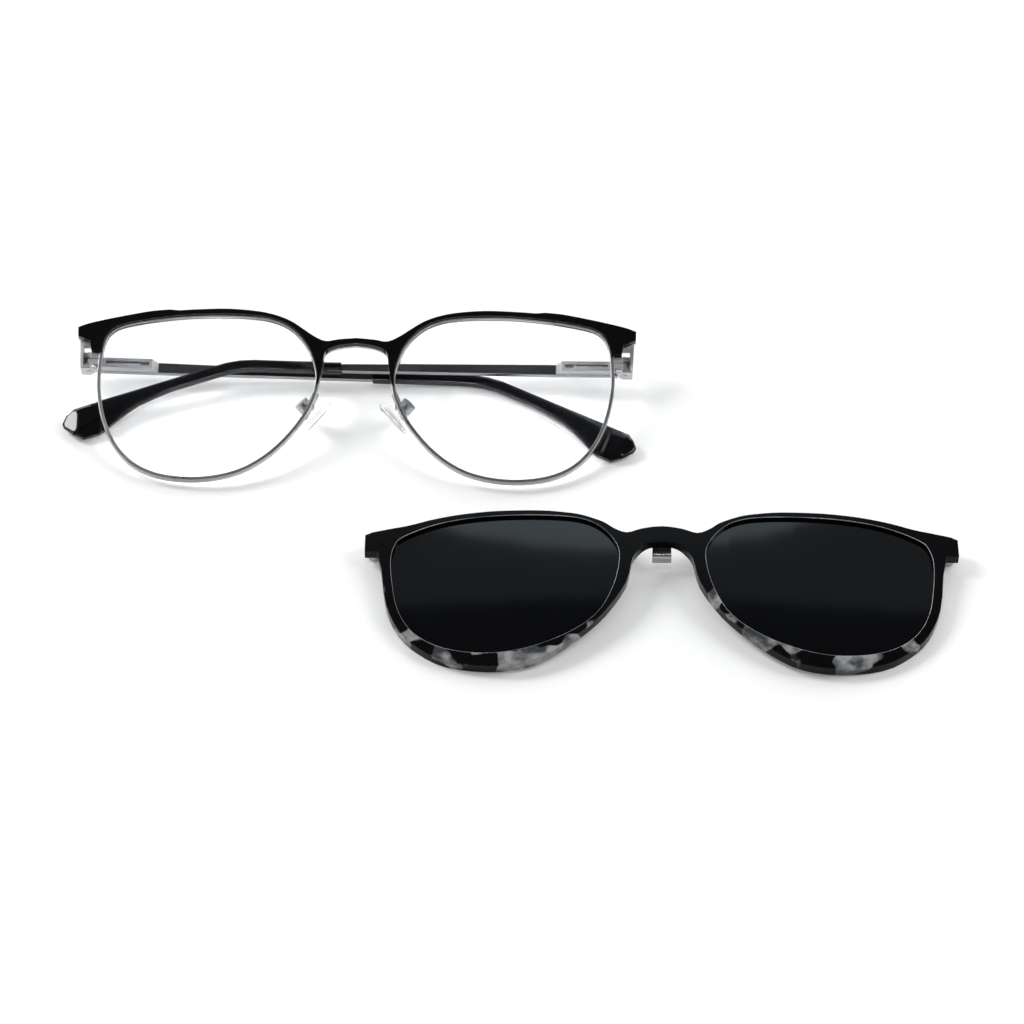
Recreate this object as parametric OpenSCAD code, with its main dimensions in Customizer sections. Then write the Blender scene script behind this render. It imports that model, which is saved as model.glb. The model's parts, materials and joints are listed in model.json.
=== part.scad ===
// Eyeglasses with a magnetic clip-on, both lying on a table in their photographed places.
// Each front is drawn in its own frame: x across, y up the front, z out of its front face.
// The right half is drawn and the left half is its mirror image.

/* [Lenses] */
// Width of each lens opening in the frame
lens_w = 52.1; // [50.5:0.1:53.5]
// Height of each lens opening in the frame
lens_h = 44.6; // [43:0.1:46]
// Gap between the two lens openings
lens_gap = 19.2; // [18:0.1:21]
// Radius of the faces of a clear lens
lens_radius = 220; // [200:10:300]
// Thickness of a clear lens
lens_thick = 1.5; // [1.3:0.1:1.8]
// Height of a clear lens's middle above the front's curved surface
lens_crown = 1.1; // [0.9:0.05:1.2]

/* [Front] */
// Radius of the curve of both fronts, seen from above
wrap_radius = 750; // [650:50:900]
// Depth of the rim wire, front to back
rim_deep = 1.55; // [1.4:0.05:1.8]
// Width of the rim wire, seen from the front
rim_wall = 0.9; // [0.8:0.05:1.1]
// Depth of the lens groove in the rim wire
groove_deep = 0.45; // [0.3:0.05:0.5]
// Width of the lens groove in the rim wire
groove_w = 0.6; // [0.5:0.05:0.7]
// Thickness of the brow plate in front of the rim wire
brow_cover = 0.7; // [0.5:0.1:1.2]
// Width of rim wire that shows inside the brow plate
rim_lip = 0.3; // [0.2:0.05:0.5]
// Height of the brow plate above the lens openings
brow_rise = 1.6; // [1.2:0.1:2.4]
// Height of the bridge at its middle
bridge_h = 1.4; // [1.2:0.1:2]
// Height of the bridge's middle line above the lens centres
bridge_rise = 14.8; // [14:0.1:15.4]
// Width of the end corner outside the lens opening
end_out = 6.2; // [6:0.1:6.8]
// Height of the end corner above the hinge's middle
end_rise = 7.6; // [7:0.1:8.4]

/* [Hinges] */
// Height of the hinge's middle above the lens centres
hinge_rise = 12.2; // [11:0.1:12.6]
// Distance from the lens opening out to the hinge axis
hinge_out = 3.4; // [3.2:0.1:3.6]
// Distance from the front's curved surface back to the hinge axis, at the axis
hinge_back = 3.9; // [3.6:0.1:4.5]
// Radius of the hinge screw
hinge_pin_r = 0.6; // [0.5:0.05:0.7]
// Thickness of each hinge ear
ear_t = 1.2; // [0.9:0.1:1.5]
// Height of the tongue's eye
eye_h = 1.9; // [1.6:0.1:2.2]
// Radius of the tongue's eye
eye_r = 1.25; // [1.15:0.05:1.3]
// Radius of the tongue's shank
shank_r = 0.4; // [0.35:0.05:0.45]
// Length of the spring
spring_len = 6.4; // [5:0.2:7]
// Diameter of the spring's wire
spring_wire = 0.2; // [0.15:0.05:0.25]
// Turns of the spring
spring_turns = 9; // [6:1:10]
// Travel of the spring hinge
flex = 1.5; // [1:0.1:1.6]
// Length of the hinge box
box_len = 14.3; // [13.5:0.1:16]

/* [Temples] */
// Thickness of the temple arm
arm_t = 1.3; // [1.2:0.1:1.5]
// Height of the temple arm at its hinge box
arm_h = 2.9; // [2.7:0.1:3.2]
// Height of the temple arm at its sleeve
arm_end_h = 2.0; // [1.8:0.1:2.3]
// Distance from the hinge axis to the sleeve
sleeve_from = 69; // [60:1:75]
// Distance from the hinge axis to the bend
bend_from = 90.2; // [89:0.2:94]
// Length of the sleeve after the start of the bend
tip_len = 49.5; // [46:0.5:51]
// Radius of the bend along its upper edge
bend_r = 22; // [18:1:30]
// Thickness of the sleeve
sleeve_t = 2.2; // [1.8:0.1:2.4]
// Height of the sleeve at the arm
sleeve_h = 3.0; // [2.6:0.1:3.3]
// Height of the tip at its widest
tip_h = 8.7; // [8:0.1:9]
// Length of the arm's core in the sleeve
core_len = 15; // [10:1:16]
// Downward bend of the left tip, in degrees
left_bend = 30.3; // [27:0.1:31]
// Downward bend of the right tip, in degrees
right_bend = 21.6; // [18:0.1:26]
// Fall of the left temple before its bend
left_fall = 0.3; // [0:0.1:0.8]
// Rise of the right temple before its bend
right_rise = 0.3; // [0:0.1:0.6]
// Inward turn of the left tip, in degrees
left_turn = 13.8; // [12:0.2:15]
// Inward turn of the right sleeve, in degrees
right_turn = 2.1; // [1.8:0.1:2.6]
// Distance from the hinge axis to the left tip's inward turn
left_turn_from = 94; // [92:1:98]
// Distance from the hinge axis to the right sleeve's inward turn
right_turn_from = 77; // [76:1:79]
// Angle of the folded left temple from the front, in degrees
left_open = 2.6; // [2.4:0.1:3]
// Angle of the folded right temple from the front, in degrees
right_open = 0; // [0:0.1:0.2]

/* [Nose pads] */
// Length of a nose pad
pad_len = 10.8; // [10:0.2:12]
// Width of a nose pad
pad_w = 5.6; // [5:0.2:7]
// Thickness of a nose pad
pad_t = 1.8; // [1.5:0.1:2.2]
// Turn of a nose pad toward the nose, in degrees
pad_splay = 57; // [50:1:62]
// Lean of a nose pad seen from the front, in degrees
pad_lean = 38; // [34:1:42]
// Distance of a pad's middle from the centre line
pad_x = 9.7; // [9.4:0.1:10.2]
// Distance of a pad's middle below the lens centres
pad_drop = 2.8; // [2.4:0.1:3.2]
// Distance of a pad's middle behind the front
pad_back = 6.4; // [6.2:0.1:6.6]
// Distance from a pad's middle to its rocking axis
pad_reach = 3.7; // [3.5:0.1:3.9]
// Radius of the cup that holds a pad
cup_r = 1.8; // [1.7:0.05:1.9]
// Radius of the screw that holds a pad
pad_pin_r = 0.4; // [0.35:0.05:0.45]

/* [Clip-on] */
// Width of each opening in the clip-on
clip_lens_w = 52.7; // [51.5:0.1:54]
// Height of each opening in the clip-on
clip_lens_h = 39.3; // [38:0.1:40]
// Gap between the two openings in the clip-on
clip_gap = 20.2; // [19:0.1:22]
// Depth of the clip-on's front
clip_deep = 2.6; // [2.3:0.1:3.5]
// Width of the ledge that a dark lens lies on
ledge = 0.9; // [0.7:0.1:1.1]
// Depth of the ledge's lip in front of a dark lens
ledge_lip = 1.0; // [0.8:0.1:1.2]
// Thickness of a dark lens
dark_t = 1.0; // [0.8:0.1:1.2]
// Width of the bridge magnet's case
case_w = 4.4; // [4:0.1:5]
// Height of the bridge magnet's case
case_h = 3.4; // [3.3:0.1:4]
// Depth of the bridge magnet's case
case_deep = 2.6; // [2.2:0.1:3]
// Radius of an end magnet
magnet_r = 1.2; // [1:0.1:1.4]
// Length of an end magnet
magnet_len = 1.6; // [1.2:0.1:2]
// Wall of a magnet cup
cup_wall = 0.5; // [0.4:0.05:0.6]

/* [Placing] */
// Tilt of the frame's front from the table, in degrees
frame_tilt = 16.5; // [16:0.1:17]
// Tilt of the clip-on's front from the table, in degrees
clip_tilt = 6.5; // [6:0.1:7]
// Distance between the middles of the frame and the clip-on, left to right
apart_x = 72.9; // [72:0.1:76]
// Distance between the middles of the frame and the clip-on, front to back
apart_y = 59.9; // [59:0.1:64]
// Height of the middle of the frame's front above the table
frame_z = 9.9; // [9.9:0.05:10.6]

/* [Fits] */
// Clearance round a screw or a shank
pin_gap = 0.05; // [0.04:0.01:0.08]
// Clearance between nested still pieces
nest_gap = 0.05; // [0.03:0.01:0.08]

/* [Hidden] */

LEFT = -1;
RIGHT = 1;

// Places worked out from the sizes above, in the frame of the eyeglasses' front
lens_x = lens_gap / 2 + lens_w / 2;
lens_edge = lens_x + lens_w / 2;
rim_front = 0.45;
rim_rear = rim_front - rim_deep;
brow_step = rim_front + nest_gap;
brow_front = brow_step + brow_cover;
hinge_x = lens_edge + hinge_out;
hinge_y = hinge_rise;
hinge_w = wrap(hinge_x) - hinge_back;

// Lens opening of the frame, as shares of its half width and half height
LENS_SHAPE = [[1, 0.33], [0.975, 0.69], [0.88, 0.86], [0.685, 0.93], [0.36, 0.98], [0, 1],
    [-0.37, 0.98], [-0.6, 0.925], [-0.77, 0.81], [-0.91, 0.6], [-0.985, 0.35], [-1, 0.15],
    [-0.95, -0.1], [-0.82, -0.39], [-0.6, -0.7], [-0.325, -0.915], [0.01, -1],
    [0.35, -0.965], [0.61, -0.83], [0.795, -0.6], [0.915, -0.3], [0.982, 0.03]];
// Opening of the clip-on, in the same way
CLIP_SHAPE = [[1, 0.36], [0.975, 0.585], [0.89, 0.73], [0.585, 0.9], [0.21, 0.985],
    [-0.25, 1], [-0.63, 0.955], [-0.84, 0.82], [-0.98, 0.56], [-1, 0.3], [-0.935, -0.095],
    [-0.79, -0.47], [-0.53, -0.75], [-0.18, -0.95], [0.17, -1.01], [0.53, -0.92],
    [0.785, -0.69], [0.925, -0.35], [0.98, 0.03]];

// Height of the curved front surface at a distance from the centre line
function wrap(x) = sqrt(wrap_radius * wrap_radius - x * x) - wrap_radius;

// Smooth curves through points: one closed, one open
function spline(a, b, c, d, t) = 0.5 * (2 * b + (c - a) * t
    + (2 * a - 5 * b + 4 * c - d) * t * t + (3 * b - a - 3 * c + d) * t * t * t);
function closed_curve(p, steps) = let (n = len(p))
    [for (i = [0:n - 1]) for (k = [0:steps - 1])
        spline(p[(i + n - 1) % n], p[i], p[(i + 1) % n], p[(i + 2) % n], k / steps)];
function open_curve(p, steps) = let (n = len(p))
    concat([for (i = [0:n - 2]) for (k = [0:steps - 1])
        spline(p[max(i - 1, 0)], p[i], p[i + 1], p[min(i + 2, n - 1)], k / steps)], [p[n - 1]]);
function outline_moved(p, out) = let (n = len(p))
    [for (i = [0:n - 1])
        let (t = p[(i + 1) % n] - p[(i + n - 1) % n])
        p[i] + out * [t[1], -t[0]] / norm(t)];

function lens_point(a, b) = [lens_x + a * lens_w / 2, b * lens_h / 2];
function bridge_point(share, y) = [share * lens_gap / 2, y];
function end_point(out, rise) = [lens_edge + out, hinge_y + rise];
lens_curve = closed_curve([for (p = LENS_SHAPE) lens_point(p[0], p[1])], 4);

clip_lens_x = clip_gap / 2 + clip_lens_w / 2;
clip_edge = clip_lens_x + clip_lens_w / 2;
clip_lens_y = 1.9;
function clip_point(a, b) = [clip_lens_x + a * clip_lens_w / 2, clip_lens_y + b * clip_lens_h / 2];
clip_curve = closed_curve([for (p = CLIP_SHAPE) clip_point(p[0], p[1])], 4);

// A slice of space between two depths of the curved front surface
module shell(rear, front) {
    translate([0, 0, -wrap_radius])
        rotate([90, 0, 0])
            difference() {
                cylinder(r = wrap_radius + front, h = 80, center = true, $fn = 720);
                cylinder(r = wrap_radius + rear, h = 82, center = true, $fn = 720);
            }
}

module prism(outline) {
    translate([0, 0, -20])
        linear_extrude(40)
            polygon(outline);
}

module in_frame(side) {
    translate([frame_x, frame_y, frame_z])
        rotate([frame_tilt, 0, 0])
            mirror([side == LEFT ? 1 : 0, 0, 0])
                children();
}

module in_clip(side) {
    translate([clip_x, clip_y, clip_z])
        rotate([clip_tilt, 0, 0])
            mirror([side == LEFT ? 1 : 0, 0, 0])
                children();
}

// A temple's own frame: x along it from the hinge axis, y up, z outward
module in_temple(side) {
    in_frame(side)
        translate([hinge_x, hinge_y, hinge_w])
            rotate([0, 180 - (side == LEFT ? left_open : right_open), 0])
                children();
}

module rod(from, to, r) {
    d = to - from;
    translate(from)
        rotate([0, acos(d[2] / norm(d)), atan2(d[1], d[0])])
            cylinder(r = r, h = norm(d), $fn = 32);
}

// Right half of the brow plate's outline, clockwise from the top of the bridge
bridge_top = bridge_rise + bridge_h / 2;
bridge_under = bridge_rise - bridge_h / 2;
BROW_TOP = [[-0.977, 0.679, 0.5], [-0.866, 0.763, 0.7], [-0.754, 0.848, 0.85],
    [-0.62, 0.91, 1], [-0.447, 0.964, 1], [-0.178, 1, 1], [0.09, 1, 1], [0.301, 0.991, 1]];
BROW_TEMPLE = [[0.386, 1.004, 1], [0.551, 0.991, 1], [0.781, 0.946, 1], [0.996, 0.897, 1]];
function brow_point(p) = lens_point(p[0], p[1]) + [0, brow_rise * p[2]];
brow_half = concat(
    open_curve(concat([bridge_point(0, bridge_top), bridge_point(0.448, bridge_top - 0.4),
        bridge_point(0.771, bridge_top - 0.9)], [for (p = BROW_TOP) brow_point(p)]), 3),
    open_curve(concat([for (p = BROW_TEMPLE) brow_point(p)],
        [end_point(end_out - 2.4, end_rise + 0.9), end_point(end_out, end_rise)]), 3),
    [end_point(end_out - 0.1, end_rise - 2.4), end_point(end_out - 1.9, end_rise - 3.4),
        end_point(end_out - 3.1, end_rise - 4), end_point(2.6, 0.9), end_point(0.2, 0.6),
        lens_point(-0.985, 0.045)],
    open_curve([bridge_point(0.906, bridge_under - 11.1), bridge_point(0.823, bridge_under - 5.8),
        bridge_point(0.76, bridge_under - 2.3), bridge_point(0.458, bridge_under - 0.7),
        bridge_point(0, bridge_under)], 3));
function both_halves(half) = let (n = len(half))
    concat(half, [for (i = [n - 2:-1:1]) [-half[i][0], half[i][1]]]);

module brow_plate() {
    color([0.04, 0.04, 0.045])
        in_frame(RIGHT)
            difference() {
                intersection() {
                    prism(both_halves(brow_half));
                    shell(rim_rear, brow_front);
                }
                for (m = [0, 1])
                    mirror([m, 0, 0]) {
                        prism(outline_moved(lens_curve, rim_lip));
                        intersection() {
                            prism(outline_moved(lens_curve, rim_wall + nest_gap));
                            shell(rim_rear - 1, brow_step);
                        }
                    }
            }
}

groove_mid = rim_rear + 0.6;

module rim_wire(side) {
    color([0.78, 0.78, 0.8])
        in_frame(side)
            difference() {
                intersection() {
                    prism(outline_moved(lens_curve, rim_wall));
                    shell(rim_rear, rim_front);
                }
                prism(lens_curve);
                intersection() {
                    prism(outline_moved(lens_curve, groove_deep));
                    shell(groove_mid - groove_w / 2, groove_mid + groove_w / 2);
                }
            }
}

module demo_lens(side) {
    lean = asin(lens_x / wrap_radius);
    middle = [lens_x, 0, wrap(lens_x)] + (lens_crown - lens_radius) * [sin(lean), 0, cos(lean)];
    color([0.9, 0.93, 0.95, 0.35])
        in_frame(side) {
            intersection() {
                prism(outline_moved(lens_curve, -nest_gap));
                translate(middle)
                    difference() {
                        sphere(lens_radius, $fn = 360);
                        sphere(lens_radius - lens_thick, $fn = 360);
                    }
            }
            difference() {
                intersection() {
                    prism(outline_moved(lens_curve, groove_deep - nest_gap));
                    shell(groove_mid - groove_w / 2 + nest_gap, groove_mid + groove_w / 2 - nest_gap);
                }
                prism(outline_moved(lens_curve, -1));
            }
        }
}

// The rim's lock: two blocks on the wire's outer side, under the end of the brow plate
lock_h = 1.5;
lock_out = 2.4;
lock_split = 0.15;
lock_deep = 2.0;
lock_top = hinge_y + 0.5;
lock_x = lens_edge + rim_wall - 0.5;
lock_w = wrap(lock_x + lock_out / 2) + rim_rear - 0.5;
lock_screw_r = 0.45;
lock_screw_x = lock_x + lock_out - 1;

module rim_lock(side) {
    color([0.75, 0.75, 0.77])
        in_frame(side)
            difference() {
                for (y = [lock_top - lock_h, lock_top - 2 * lock_h - lock_split])
                    translate([lock_x, y, lock_w])
                        cube([lock_out, lock_h, lock_deep]);
                prism(outline_moved(lens_curve, rim_wall));
                translate([lock_screw_x, lock_top - 2 * lock_h - 1, lock_w + lock_deep / 2])
                    rotate([-90, 0, 0])
                        cylinder(r = lock_screw_r + pin_gap, h = 2 * lock_h + 2, $fn = 48);
            }
}

module rim_screw(side) {
    length = 2 * lock_h + lock_split;
    color([0.7, 0.7, 0.72])
        in_frame(side)
            translate([lock_screw_x, lock_top - length, lock_w + lock_deep / 2])
                rotate([-90, 0, 0])
                    difference() {
                        union() {
                            translate([0, 0, -0.5])
                                cylinder(r = lock_screw_r + 0.35, h = 0.5, $fn = 48);
                            translate([0, 0, -0.1])
                                cylinder(r = lock_screw_r, h = length - 0.2, $fn = 48);
                        }
                        translate([-2, -0.12, -0.7])
                            cube([4, 0.24, 0.4]);
                    }
}

// Heights of the hinge, from its middle: the tongue's eye, then an ear above and below
ear_from = eye_h / 2 + pin_gap;
ear_to = ear_from + ear_t;
ear_reach = 1.5;
plate_in = eye_r + 0.1;
plate_t = 1.1;
plate_low_t = 0.6;
plate_top = end_rise - 2.1;
arm_out = plate_in + 0.95 - arm_t / 2;
arm_start = ear_reach + 0.1;

module ear_plate() {
    c = 1.1;
    linear_extrude(ear_t)
        polygon([[plate_in + 0.3, -ear_reach], [c - ear_reach, -ear_reach],
            [-ear_reach, c - ear_reach], [-ear_reach, 1.3], [-1, 1.8], [plate_in + 0.3, 1.8]]);
}

module endpiece(side) {
    color([0.72, 0.72, 0.74])
        in_frame(side)
            difference() {
                translate([hinge_x, hinge_y, hinge_w]) {
                    for (y = [-ear_from, ear_to])
                        translate([0, y, 0])
                            rotate([90, 0, 0])
                                ear_plate();
                    intersection() {
                        translate([plate_in, 0, 0])
                            rotate([90, 0, 90])
                                linear_extrude(plate_t)
                                    polygon([[-ear_to, -ear_reach], [-ear_to, 1.8], [2.2, 3.4],
                                        [plate_top, 3.4], [plate_top, 2], [ear_to, -0.6],
                                        [ear_to, -ear_reach]]);
                        translate([0, 0, -5])
                            linear_extrude(10)
                                polygon([[plate_in, -ear_to], [plate_in + plate_low_t, -ear_to],
                                    [plate_in + plate_t, plate_top], [plate_in, plate_top]]);
                    }
                    translate([-0.9, end_rise - 4, 1.2])
                        cube([plate_in + plate_low_t + 0.9, 0.8, 2.2]);
                }
                shell(rim_rear, rim_front + 3);
                translate([hinge_x, hinge_y - 5, hinge_w])
                    rotate([-90, 0, 0])
                        cylinder(r = hinge_pin_r + pin_gap, h = 10, $fn = 48);
            }
}

module hinge_screw(side) {
    color([0.66, 0.66, 0.68])
        in_frame(side)
            translate([hinge_x, hinge_y, hinge_w])
                rotate([-90, 0, 0])
                    difference() {
                        union() {
                            translate([0, 0, -ear_to - 0.1])
                                cylinder(r = hinge_pin_r, h = 2 * ear_to + 0.1, $fn = 48);
                            translate([0, 0, ear_to])
                                cylinder(r = hinge_pin_r + 0.45, h = 0.5, $fn = 48);
                        }
                        translate([-2, -0.13, ear_to + 0.3])
                            cube([4, 0.26, 1]);
                    }
}

// Spring hinge: the tongue's shank runs into the box, with the spring between box and head
shank_out = 0.05;
box_from = arm_start + 0.8;
box_wall = 1.2;
box_h = 2.7;
box_in = 0.85;
box_bore_r = 0.7;
spring_from = box_from + box_wall + flex + 0.2;
head_from = spring_from + spring_len;
head_t = 0.6;
coil_r = shank_r + pin_gap + spring_wire / 2;
spring_pitch = (spring_len - spring_wire) / spring_turns;
echo("least gap between the spring's turns, mm", spring_pitch - spring_wire);

module hinge_tongue(side) {
    color([0.7, 0.7, 0.72])
        in_temple(side)
            difference() {
                union() {
                    rotate([-90, 0, 0])
                        translate([0, 0, -eye_h / 2])
                            cylinder(r = eye_r, h = eye_h, $fn = 48);
                    translate([0, -eye_h / 2, shank_out - shank_r])
                        cube([box_from - 0.1, eye_h, 2 * shank_r]);
                    translate([1, 0, shank_out])
                        rotate([0, 90, 0])
                            cylinder(r = shank_r, h = head_from + head_t - 1, $fn = 48);
                    translate([head_from, 0, shank_out])
                        rotate([0, 90, 0])
                            cylinder(r = coil_r + spring_wire / 2, h = head_t, $fn = 48);
                }
                rotate([-90, 0, 0])
                    translate([0, 0, -eye_h])
                        cylinder(r = hinge_pin_r + pin_gap, h = 2 * eye_h, $fn = 48);
            }
}

// A closed tube through rings of points that all have the same count
module tube_of(rings) {
    n = len(rings[0]);
    m = len(rings);
    sides = [for (i = [0:m - 2]) for (k = [0:n - 1])
        let (a = i * n + k, b = i * n + (k + 1) % n) each [[a, b, b + n], [a, b + n, a + n]]];
    ends = [for (k = [1:n - 2]) each [[0, k + 1, k], [(m - 1) * n, (m - 1) * n + k, (m - 1) * n + k + 1]]];
    polyhedron([for (r = rings) each r], concat(sides, ends));
}

module hinge_spring(side) {
    steps = 10;
    rings = [for (i = [0:spring_turns * steps])
        let (a = 360 * i / steps, x = spring_from + spring_wire / 2 + i / steps * spring_pitch)
        [for (k = [0:5])
            let (r = coil_r + spring_wire / 2 * cos(60 * k))
            [x + spring_wire / 2 * sin(60 * k), r * cos(a), shank_out + r * sin(a)]]];
    color([0.6, 0.6, 0.63])
        in_temple(side)
            tube_of(rings);
}

module hinge_box(side) {
    color([0.72, 0.72, 0.74])
        in_temple(side)
            difference() {
                translate([0, box_h / 2, 0])
                    rotate([90, 0, 0])
                        linear_extrude(box_h)
                            polygon([[box_from, arm_out - arm_t / 2], [box_from, -box_in],
                                [box_from + box_len - 1.5, -box_in],
                                [box_from + box_len, arm_out - arm_t / 2]]);
                translate([box_from + box_wall, 0, shank_out])
                    rotate([0, 90, 0])
                        cylinder(r = box_bore_r, h = box_len - 3, $fn = 48);
                translate([box_from - 1, 0, shank_out])
                    rotate([0, 90, 0])
                        cylinder(r = shank_r + pin_gap, h = 4, $fn = 48);
                translate([box_from + box_wall + 0.4, -0.45, -box_in - 1])
                    cube([box_len - 3.8, 0.9, 1 + box_in + shank_out]);
            }
}

// The arm runs straight past its box, then falls a little as far as the sleeve
fall_from = box_from + box_len + 0.3;
core_t = 0.6;
core_h = 1.1;
function fall_of(side) = side == LEFT ? left_fall : -right_rise;
function fall_angle(side) = atan(fall_of(side) / (sleeve_from - fall_from));

module temple_arm(side) {
    tilt = fall_angle(side);
    straight = sleeve_from - fall_from;
    color([0.25, 0.25, 0.27])
        in_temple(side) {
            translate([0, 0, arm_out - arm_t / 2])
                linear_extrude(arm_t)
                    union() {
                        polygon([[arm_start, -arm_h / 2], [fall_from, -arm_h / 2],
                            [fall_from, arm_h / 2], [arm_start, arm_h / 2]]);
                        translate([fall_from, 0])
                            rotate(-tilt)
                                polygon([[-0.1, -arm_h / 2], [straight, -arm_end_h / 2],
                                    [straight, arm_end_h / 2], [-0.1, arm_h / 2]]);
                    }
            translate([fall_from, 0, arm_out])
                rotate([0, 0, -tilt])
                    translate([straight - 1, -core_h / 2, -core_t / 2])
                        cube([core_len + 1, core_h, core_t]);
        }
}

// The tip behind the bend: share of its length, top edge and bottom edge as shares of its height
TIP = [[0, 0, 0], [0.44, 0, 0.02], [0.54, 0, 0.1], [0.62, 0, 0.22], [0.68, 0, 0.4],
    [0.74, 0, 0.62], [0.81, 0, 0.9], [0.85, 0, 1], [0.93, 0, 1]];
TIP_END = [[0.97, 0.1, 0.76], [1, 0.28, 0.45]];

// Point on the sleeve's upper edge and the direction there, at a distance past the bend's start
function upper_edge(l, bend) = let (arc = bend_r * bend * PI / 180, a = max(0, min(l, arc)) / bend_r * 180 / PI)
    [bend_r * sin(a) + min(l, 0) + max(l - arc, 0) * cos(a),
        -bend_r * (1 - cos(a)) - max(l - arc, 0) * sin(a), a];

function tip_bend(side) = side == LEFT ? left_bend : right_bend;
function tip_turn(side) = side == LEFT ? left_turn : right_turn;
function tip_turn_from(side) = side == LEFT ? left_turn_from : right_turn_from;

// Rings of the sleeve, from the arm to the tip: place past the bend, top edge, bottom edge, thickness
tip_stations = concat(
    [for (i = [0:3]) [(sleeve_from - bend_from) * (1 - i / 4), 0, sleeve_h, sleeve_t]],
    [for (i = [0:6]) [i / 6 * TIP[1][0] * tip_len, 0, sleeve_h, sleeve_t]],
    [for (i = [2:len(TIP) - 1])
        [TIP[i][0] * tip_len, 0, sleeve_h + (tip_h - sleeve_h) * TIP[i][2], sleeve_t]],
    [for (p = TIP_END) [p[0] * tip_len, p[1] * tip_h, p[2] * tip_h, sleeve_t * (1.8 - p[0])]]);
function tip_ring(q, side) =
    let (u = upper_edge(q[0], tip_bend(side)), x = bend_from - fall_from + u[0],
        down = [-sin(u[2]), -cos(u[2])], mid = (q[1] + q[2]) / 2, half = (q[2] - q[1]) / 2,
        past = x + fall_from - tip_turn_from(side),
        inward = tan(tip_turn(side)) * (past + sqrt(past * past + 9)) / 2)
    [for (k = [0:11])
        let (c = cos(30 * k + 15), s = sin(30 * k + 15),
            v = sign(s) * pow(abs(s), 0.6) * half, o = sign(c) * pow(abs(c), 0.6) * q[3] / 2)
        [x + down[0] * (mid + v), sleeve_h / 2 + u[1] + down[1] * (mid + v), arm_out - inward + o]];
right_tip_reach = fall_from + max([for (q = tip_stations) for (p = tip_ring(q, RIGHT))
    p[0] * cos(fall_angle(RIGHT)) + p[1] * sin(fall_angle(RIGHT))]);

module temple_tip(side) {
    color([0.05, 0.05, 0.055])
        in_temple(side)
            translate([fall_from, 0, 0])
                rotate([0, 0, -fall_angle(side)])
                    difference() {
                        tube_of([for (q = tip_stations) tip_ring(q, side)]);
                        translate([sleeve_from - fall_from - 1, -core_h / 2 - nest_gap,
                            arm_out - core_t / 2 - nest_gap])
                            cube([core_len + 1.3, core_h + 2 * nest_gap, core_t + 2 * nest_gap]);
                    }
}

// A pad's own frame: x across it, y up it, z from its middle to its rocking axis
cup_top = pad_reach + 1.5;
cup_wall_t = 0.45;
pad_place = [pad_x, -pad_drop, -pad_back];
pad_normal = [sin(pad_splay) * cos(pad_lean), sin(pad_splay) * sin(pad_lean), cos(pad_splay)];
pad_across = [cos(pad_splay) * cos(pad_lean), cos(pad_splay) * sin(pad_lean), -sin(pad_splay)];

module in_pad(side) {
    in_frame(side)
        translate(pad_place)
            rotate([0, pad_splay, pad_lean])
                children();
}

module pad_arm(side) {
    base = [10.8, -1.7, rim_rear - 1.6];
    color([0.78, 0.78, 0.8]) {
        in_frame(side) {
            translate(base)
                rotate([0, 0, 21])
                    for (i = [-4:4])
                        translate([-0.75, (i - 0.5) * 0.8, 0])
                            cube([1.4, 0.8, i % 2 == 0 ? 0.9 : 0.75]);
            intersection() {
                translate([9.7, -2.5, base[2]])
                    cube([0.8, 1.6, 3]);
                shell(rim_rear - 2, rim_rear);
            }
            rod(base + [0.2, 0.4, 0.3],
                pad_place + (cup_top - 0.25) * pad_normal - (cup_r - 0.35) * pad_across, 0.4);
        }
        in_pad(side)
            difference() {
                translate([0, 0, pad_reach - 0.8])
                    cylinder(r = cup_r, h = cup_top - pad_reach + 0.8, $fn = 64);
                translate([0, 0, pad_reach - 2])
                    cylinder(r = cup_r - cup_wall_t, h = cup_top - pad_reach + 1.5, $fn = 64);
                translate([-cup_r + 0.25, 0, pad_reach])
                    rotate([0, 90, 0])
                        cylinder(r = pad_pin_r + pin_gap, h = 5, $fn = 48);
            }
    }
}

module pad_screw(side) {
    color([0.7, 0.7, 0.72])
        in_pad(side)
            translate([0, 0, pad_reach])
                rotate([0, 90, 0]) {
                    translate([0, 0, -cup_r + 0.3])
                        cylinder(r = pad_pin_r, h = 2 * cup_r - 0.2, $fn = 48);
                    translate([0, 0, cup_r])
                        cylinder(r = pad_pin_r + 0.3, h = 0.35, $fn = 48);
                }
}

module nose_pad(side) {
    stem_w = 1.1;
    stem_h = 1.8;
    end = (pad_len - pad_w) / 2;
    color([0.88, 0.88, 0.86, 0.5])
        in_pad(side)
            difference() {
                union() {
                    hull()
                        for (y = [-end, end])
                            translate([0, y, 0]) {
                                cylinder(r = pad_w / 2, h = pad_t - 1, center = true, $fn = 32);
                                cylinder(r = pad_w / 2 - 0.6, h = pad_t, center = true, $fn = 32);
                            }
                    translate([-stem_w / 2, -stem_h / 2, 0])
                        cube([stem_w, stem_h, pad_reach]);
                    translate([-stem_w / 2, 0, pad_reach])
                        rotate([0, 90, 0])
                            cylinder(r = stem_h / 2, h = stem_w, $fn = 48);
                }
                translate([-5, 0, pad_reach])
                    rotate([0, 90, 0])
                        cylinder(r = pad_pin_r + pin_gap, h = 10, $fn = 48);
            }
}

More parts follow.
